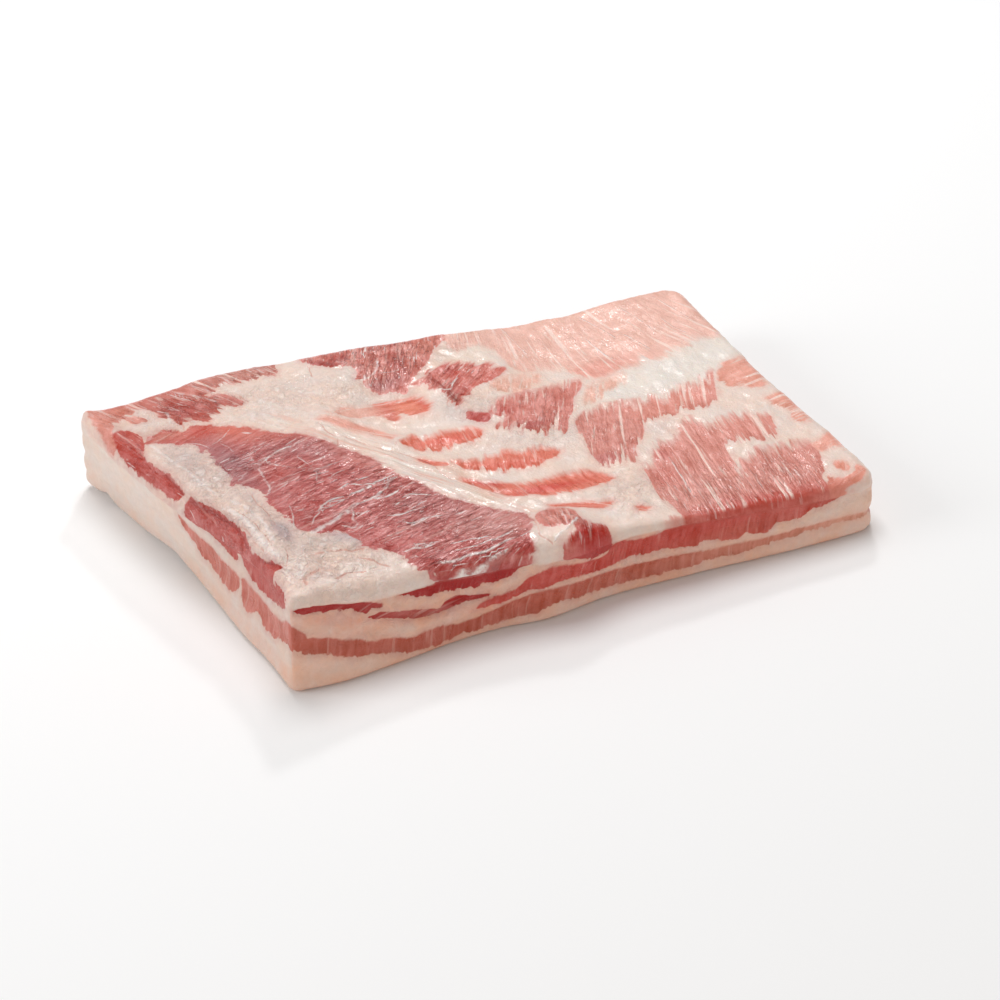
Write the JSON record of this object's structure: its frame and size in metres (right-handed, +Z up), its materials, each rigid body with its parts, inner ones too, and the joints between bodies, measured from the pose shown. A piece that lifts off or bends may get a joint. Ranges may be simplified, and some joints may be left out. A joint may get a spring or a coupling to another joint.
{
  "type": "pork belly slab",
  "caption": "Raw skinless pork belly slab: a streaky block of lean and fat, thick at one end, that lies flat on its fat side.",
  "frame": {"origin": "on the surface that the slab rests on, under the middle of its bounding box", "axes": "+Z up out of the lean side, +X along the slab's length towards its thin end, +Y across its width from the front cut to the back cut"},
  "size_m": [0.3584, 0.2164, 0.0526],
  "materials": {
    "raw_pork": "moist raw meat, red lean marbled with creamy fat"
  },
  "bodies": {
    "root": {"pork_belly_slab": "raw_pork"}
  },
  "joints": []
}
